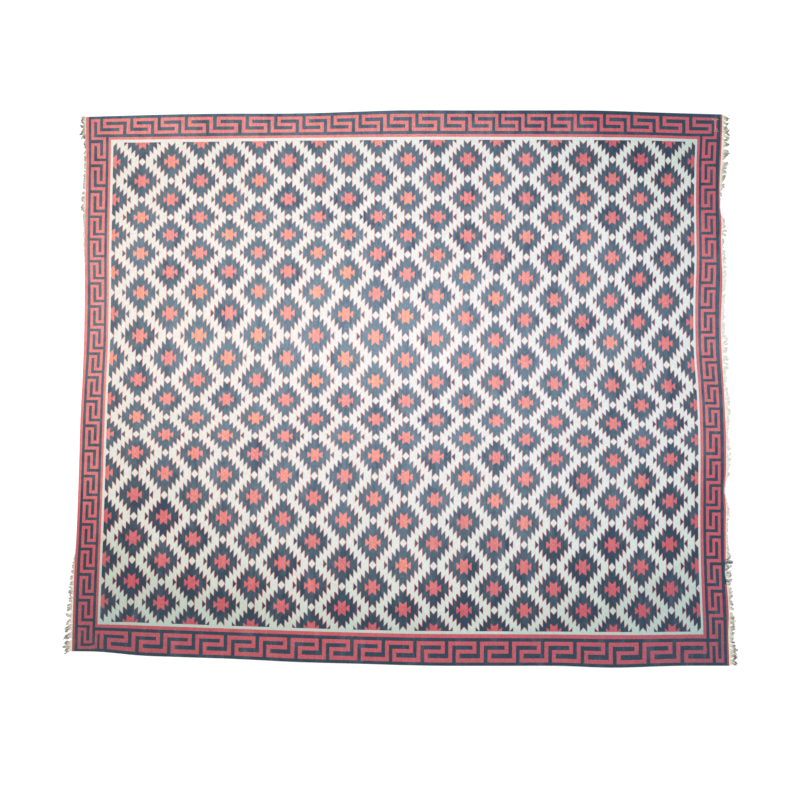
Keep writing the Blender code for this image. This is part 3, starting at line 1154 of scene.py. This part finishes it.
def yarn_cotton(name, settings, dimming):
    """Plied cotton yarn with its twist raised and painted shade in its grooves: greyed by
    painted shade near the corners, and darkened at its tip by dirt and painted shade.
    """
    material = bpy.data.materials.new(name)
    loom = Loom(material)
    length, turn = loom.map("yarn")
    share, tone = loom.map("tone")
    place, x, y = loom.place()
    # Painted shade: the cotton greys towards the rug's corners.
    corner = loom.minus(loom.math("ABSOLUTE", y), CORNER_START)
    corner = loom.clamp(loom.math("DIVIDE", corner, CORNER_FULL - CORNER_START))
    cotton = loom.blend(corner, settings.clean, settings.shaded_cotton)
    patches = loom.cloud(place, 55.0, 1.0)
    # The dark tips are partly dirt and partly painted shade of the gaps between the locks.
    own = loom.math("FRACT", loom.times(tone, 7.31))
    outward = loom.clamp(loom.line(share, 1.5, -0.35))
    tip_dirt_and_shade = loom.line(corner, 0.28, -1.12)
    tip_dirt_and_shade = loom.line(own, 1.2, loom.line(patches, 1.6, tip_dirt_and_shade))
    tip_dirt_and_shade = loom.clamp(loom.times(tip_dirt_and_shade, 2.2))
    tip_dirt_and_shade = loom.times(tip_dirt_and_shade, outward, loom.line(corner, 0.8, 0.2), dimming)
    colour = loom.blend(tip_dirt_and_shade, cotton, settings.dimmed)
    dyed = loom.math("GREATER_THAN", tone, DYED - 0.01)
    colour = loom.blend(dyed, colour, settings.dyed)
    twist = loom.line(length, TWISTS_PER_METRE, turn)
    strand = loom.math("SINE", loom.times(twist, 2 * math.pi))
    # Painted shade in the grooves between the ply's strands.
    groove_shade = loom.line(strand, 0.10, 0.90)
    colour = loom.tint(colour, groove_shade)
    loom.relief(strand, 0.0004, 0.7)
    loom.feed(loom.shader.inputs["Base Color"], colour)
    loom.shader.inputs["Roughness"].default_value = 0.9
    loom.shader.inputs["Specular IOR Level"].default_value = 0.2
    return material


def lock_reach(node, side):
    """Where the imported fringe's locks reach, as a function of y, in metres past the end."""
    spots = {}
    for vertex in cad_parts[node].data.vertices:
        out = side * (vertex.co.x - outline.end_x(side, vertex.co.y))
        spots[round(vertex.co.y, 4)] = max(out, spots.get(round(vertex.co.y, 4), 0.0))
    places = sorted(spots)

    def reach(y):
        low = bisect_right(places, y - LOCK_SPREAD)
        high = bisect_right(places, y + LOCK_SPREAD)
        return max([spots[place] for place in places[low:high]] or [0.0])

    return reach


# How far the fringe sweeps towards the far side as it goes out: y, sweep in metres
LEFT_SWEEP = (
    (-1.56, -0.002), (-1.45, -0.010), (-1.20, -0.010), (-1.00, 0.0), (0.90, 0.0),
    (1.30, -0.008), (1.46, -0.020), (1.51, -0.006), (1.54, 0.024),
)
RIGHT_SWEEP = (
    (-1.54, 0.010), (-1.40, -0.014), (-1.20, 0.010), (-0.80, -0.012), (-0.40, 0.012),
    (0.0, -0.012), (0.40, 0.010), (0.80, -0.010), (1.20, 0.010), (1.45, -0.016),
    (1.53, -0.018),
)

# Stretches where the fringe is worn down to stubs: side, low y, high y
WORN_STRETCHES = ((1, -0.66, -0.53), (1, 0.96, 1.09), (-1, 0.54, 0.72))
STUB = 0.55              # share of the fringe's length that is left there

ROOT_DEPTH = 0.002       # how far inside the cloth a warp end starts, in metres
ROOT_HEIGHT = 0.45       # and how high in it, as a share of its thickness
PILE_HEIGHT = 0.0035     # most that a warp end lies on top of others
FULL_SWEEP = 0.03        # a lock this long sweeps fully
FULL_GATHER = 0.02       # and one this long gathers fully
MENDED_TONE = 0.65       # beside the mend, warp ends of a higher tone are dyed
MEND_MARGIN = 0.01       # how far past the mend they reach


def fringe_warps(side, low_y, high_y):
    """The height at which each warp leaves the cloth's end, within a stretch."""
    across = 0 if side < 0 else CHART_WIDTH
    heights = [chart_place(across, warp + 0.5)[1] for warp in range(CHART_HEIGHT)]
    return [y for y in heights if low_y < y < high_y]


def new_lock(chance):
    """How one lock lies. Its lean, wave and hooked tip are shares of its length."""
    return {
        "lean": chance.uniform(-0.14, 0.14), "gather": chance.uniform(0.15, 0.55),
        "wave": chance.uniform(0.04, 0.13), "phase": chance.uniform(0, 2 * math.pi),
        "turns": chance.uniform(0.6, 1.3), "hook": chance.uniform(-0.40, 0.40),
        "reach": chance.uniform(0.84, 1.10),
    }


def worn_share(side, y):
    """Share of the fringe's length that wear has left at a place."""
    share = 1.0
    for worn_side, low, high in WORN_STRETCHES:
        if side == worn_side:
            inside = ease(low - 0.03, low + 0.01, y) * (1 - ease(high - 0.01, high + 0.03, y))
            share = min(share, mix(1.0, STUB, inside))
    return share


def warp_route(root, side, length, sweep, lock, gather, chance, settings):
    """The way of one warp end as it leaves the cloth, falls to the floor and lies there."""
    own_wave = chance.uniform(-0.6, 0.6) * settings.curl
    own_phase = chance.uniform(0, 2 * math.pi)
    own_turns = chance.uniform(0.8, 1.7)
    pile = chance.uniform(0.0, 1.0) ** 2 * PILE_HEIGHT
    low = settings.yarn_radius * 1.05
    start = math.sin(lock["phase"])

    def route(share):
        wave = math.sin(lock["phase"] + 2 * math.pi * lock["turns"] * share) - start
        aside = gather * ease(0.05, 0.8, share) + sweep * share ** 1.5
        aside += length * (lock["lean"] * share + lock["hook"] * share ** 3)
        aside += length * lock["wave"] * wave * ease(0.0, 0.4, share)
        aside += own_wave * share * math.sin(own_phase + 2 * math.pi * own_turns * share)
        out = length * (share - 0.3 * abs(lock["hook"]) * share ** 3) - ROOT_DEPTH
        fall = mix(root.z, low, ease(0.0, 0.3, share))
        rise = pile * ease(0.1, 0.5, share) * (1 - 0.5 * ease(0.7, 1.0, share))
        return Vector((root.x + side * out, root.y + aside, fall + rise))

    return route


def tie_fringe(node, side, cloth, settings, straight, material, seed):
    """One stretch of warp ends that gather into loose locks on the floor."""
    chance = random.Random(seed)
    low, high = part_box(node)
    reach = lock_reach(node, side)
    sweep_stations = LEFT_SWEEP if side < 0 else RIGHT_SWEEP
    bundle, layers = new_bundle()
    locks = {}
    for y in fringe_warps(side, low.y, high.y):
        for yarn in range(settings.yarns_per_warp):
            root_y = y + (yarn - 1) * 1.7 * settings.yarn_radius
            number = round((root_y - low.y) / settings.lock_pitch)
            if number not in locks:
                locks[number] = new_lock(chance)
            lock = locks[number]
            root_x = outline.end_x(side, root_y)
            root_z = lift(cloth, root_x, root_y) + cloth.thickness * ROOT_HEIGHT
            root = Vector((root_x, root_y, root_z))
            length = reach(root_y) * worn_share(side, root_y)
            length *= lock["reach"] * chance.uniform(0.75, 1.1)
            sweep = curve(sweep_stations, root_y) * min(1.0, length / FULL_SWEEP)
            gather = (low.y + number * settings.lock_pitch - root_y) * lock["gather"]
            gather *= min(1.0, length / FULL_GATHER)
            tone = chance.random()
            mended = MEND_NEAR - MEND_MARGIN < root_y < MEND_FAR + MEND_MARGIN
            if side > 0 and mended and tone > MENDED_TONE:
                tone = DYED
            route = warp_route(root, side, length, sweep, lock, gather, chance, settings)
            lay_yarn(bundle, straight, route, layers, tone)
    fringe = finished_object(node + "_yarns", bundle, material)
    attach(fringe, "root")
    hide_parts(node)


STITCHES = 24


def mend_stitches(cloth, straight, material):
    """Overcast stitches that bind the mended stretch of the right end."""
    chance = random.Random(5)
    bundle, layers = new_bundle()
    for stitch in range(STITCHES):
        y = mix(MEND_NEAR, MEND_FAR, (stitch + 0.5) / STITCHES)
        edge_x = outline.end_x(1, y)
        base = lift(cloth, edge_x, y)
        top = base + cloth.thickness
        depth = chance.uniform(0.006, 0.009)
        slant = chance.uniform(0.001, 0.003)

        def route(share):
            angle = mix(math.radians(120), math.radians(-80), share)
            x = edge_x - 0.001 + 0.0028 * math.cos(angle)
            if angle > math.pi / 2:
                x = edge_x - depth * (angle - math.pi / 2) / math.radians(30)
            z = base + cloth.thickness * 0.5 + (top - base) * 0.62 * math.sin(angle)
            return Vector((x, y + slant * share, max(z, base + 0.0006)))

        lay_yarn(bundle, straight, route, layers, DYED)
    stitches = finished_object("overcast_mend", bundle, material)
    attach(stitches, "root")


# Loose white threads on the far right corner, as points (x, y) in metres
LOOSE_THREADS = (
    ((1.763, 1.509), (1.778, 1.506), (1.782, 1.490), (1.782, 1.470), (1.784, 1.448),
     (1.777, 1.437)),
    ((1.780, 1.498), (1.790, 1.505), (1.802, 1.507)),
    ((1.776, 1.438), (1.788, 1.454), (1.795, 1.445), (1.787, 1.438), (1.805, 1.440)),
)


def loose_threads(cloth, straight, material):
    """White threads that lie loose on the far right corner."""
    bundle, layers = new_bundle()
    for points in LOOSE_THREADS:
        numbers = list(range(len(points)))
        xs = [point[0] for point in points]
        ys = [point[1] for point in points]

        def route(share):
            along = share * (len(points) - 1)
            x = smooth_reading(numbers, xs, along)
            y = smooth_reading(numbers, ys, along)
            return Vector((x, y, lift(cloth, x, y) + cloth.thickness + 0.0009))

        lay_yarn(bundle, straight, route, layers, 0.0)
    threads = finished_object("loose_threads", bundle, material)
    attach(threads, "root")


FRINGES = (
    ("fringe_left_far", -1, 11),
    ("fringe_left_near", -1, 12),
    ("fringe_right", 1, 13),
)


class DhurrieBuildStage(bpy.types.Operator):
    """Lay the pale floor and set up the soft light and the camera"""

    bl_idname = "dhurrie.build_stage"
    bl_label = "Build Stage"
    bl_options = {"REGISTER", "UNDO"}

    def execute(self, context):
        settings = context.scene.dhurrie_stage
        self.lay_floor(settings)
        self.hang_lights(context.scene, settings)
        self.stand_camera(context.scene, settings)
        return {"FINISHED"}

    @staticmethod
    def lay_floor(settings):
        """A wide pale floor, a hair under the rug."""
        shape = bmesh.new()
        bmesh.ops.create_grid(
            shape, x_segments=1, y_segments=1, size=settings.floor_size / 2,
            matrix=Matrix.Translation((0, 0, -0.3 * MM)),
        )
        material = bpy.data.materials.new("pale_floor")
        loom = Loom(material)
        loom.shader.inputs["Base Color"].default_value = (*settings.floor_colour, 1.0)
        loom.shader.inputs["Roughness"].default_value = 0.8
        loom.shader.inputs["Specular IOR Level"].default_value = 0.1
        floor = finished_object("floor", shape, material)

    @staticmethod
    def hang_lights(scene, settings):
        """Even light from all round and one large soft lamp."""
        world = bpy.data.worlds.new("soft_sky")
        scene.world = world
        world.use_nodes = True
        sky = world.node_tree.nodes["Background"]
        sky.inputs["Color"].default_value = (1.0, 1.0, 1.0, 1.0)
        sky.inputs["Strength"].default_value = settings.sky_strength
        light = bpy.data.lights.new("soft_lamp", "AREA")
        light.energy = settings.lamp_power
        light.shape = "SQUARE"
        light.size = settings.lamp_size
        lamp = bpy.data.objects.new("soft_lamp", light)
        lamp.location = settings.lamp_place
        towards = -Vector(settings.lamp_place)
        lamp.rotation_euler = towards.to_track_quat("-Z", "Y").to_euler()
        scene.collection.objects.link(lamp)

    @staticmethod
    def stand_camera(scene, settings):
        """The camera above the rug, a little off the square."""
        scene.view_settings.view_transform = "Standard"
        view = bpy.data.cameras.new("camera")
        view.lens = settings.camera_lens
        view.sensor_width = 36.0
        camera = bpy.data.objects.new("camera", view)
        sight = (Vector(settings.camera_aim) - Vector(settings.camera_place)).normalized()
        right = sight.cross(Vector((0, 1, 0))).normalized()
        right.rotate(Matrix.Rotation(-settings.camera_roll, 3, sight))
        up = right.cross(sight)
        turn = Matrix((right, up, -sight)).transposed()
        camera.matrix_world = Matrix.Translation(settings.camera_place) @ turn.to_4x4()
        scene.collection.objects.link(camera)
        scene.camera = camera


class DhurrieWeaveCloth(bpy.types.Operator):
    """Weave the rug's cloth with its stars and key border"""

    bl_idname = "dhurrie.weave_cloth"
    bl_label = "Weave Cloth"
    bl_options = {"REGISTER", "UNDO"}

    def execute(self, context):
        settings = context.scene.dhurrie_cloth
        cloth = finished_object("cloth", weave_cloth(settings), woven_cotton(settings))
        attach(cloth, "root")
        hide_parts("rug")
        return {"FINISHED"}


class DhurrieTieFringes(bpy.types.Operator):
    """Tie the three stretches of warp fringe"""

    bl_idname = "dhurrie.tie_fringes"
    bl_label = "Tie Fringes"
    bl_options = {"REGISTER", "UNDO"}

    def execute(self, context):
        cloth = context.scene.dhurrie_cloth
        settings = context.scene.dhurrie_fringe
        straight = straight_yarn(settings.yarn_radius)
        material = yarn_cotton("warp_cotton", settings, 1.0)
        for node, side, seed in FRINGES:
            tie_fringe(node, side, cloth, settings, straight, material, seed)
        bpy.data.meshes.remove(straight)
        return {"FINISHED"}


class DhurrieSewMends(bpy.types.Operator):
    """Sew the mend on the right end and lay the loose threads"""

    bl_idname = "dhurrie.sew_mends"
    bl_label = "Sew Mends"
    bl_options = {"REGISTER", "UNDO"}

    def execute(self, context):
        cloth = context.scene.dhurrie_cloth
        settings = context.scene.dhurrie_fringe
        material = yarn_cotton("mending_cotton", settings, 0.3)
        straight = straight_yarn(settings.yarn_radius * 0.9)
        mend_stitches(cloth, straight, material)
        bpy.data.meshes.remove(straight)
        straight = straight_yarn(settings.yarn_radius * 0.6)
        loose_threads(cloth, straight, material)
        bpy.data.meshes.remove(straight)
        return {"FINISHED"}


class DhurriePanel(bpy.types.Panel):
    """The rug's sizes, colours and building steps"""

    bl_idname = "VIEW3D_PT_dhurrie"
    bl_label = "Dhurrie Rug"
    bl_space_type = "VIEW_3D"
    bl_region_type = "UI"
    bl_category = "Dhurrie"

    def draw(self, context):
        groups = (
            ("Stage", context.scene.dhurrie_stage, ("dhurrie.build_stage",)),
            ("Cloth", context.scene.dhurrie_cloth, ("dhurrie.weave_cloth",)),
            (
                "Fringe", context.scene.dhurrie_fringe,
                ("dhurrie.tie_fringes", "dhurrie.sew_mends"),
            ),
        )
        for title, settings, steps in groups:
            box = self.layout.box()
            box.label(text=title)
            for name in settings.__annotations__:
                box.prop(settings, name)
            for step in steps:
                box.operator(step)


CLASSES = (
    DhurrieClothSettings,
    DhurrieFringeSettings,
    DhurrieStageSettings,
    DhurrieBuildStage,
    DhurrieWeaveCloth,
    DhurrieTieFringes,
    DhurrieSewMends,
    DhurriePanel,
)


def register():
    for item in CLASSES:
        bpy.utils.register_class(item)
    bpy.types.Scene.dhurrie_cloth = PointerProperty(type=DhurrieClothSettings)
    bpy.types.Scene.dhurrie_fringe = PointerProperty(type=DhurrieFringeSettings)
    bpy.types.Scene.dhurrie_stage = PointerProperty(type=DhurrieStageSettings)


def unregister():
    del bpy.types.Scene.dhurrie_stage
    del bpy.types.Scene.dhurrie_fringe
    del bpy.types.Scene.dhurrie_cloth
    for item in reversed(CLASSES):
        bpy.utils.unregister_class(item)


def main():
    register()
    bpy.ops.dhurrie.build_stage()
    bpy.ops.dhurrie.weave_cloth()
    bpy.ops.dhurrie.tie_fringes()
    bpy.ops.dhurrie.sew_mends()


if __name__ == "__main__":
    main()
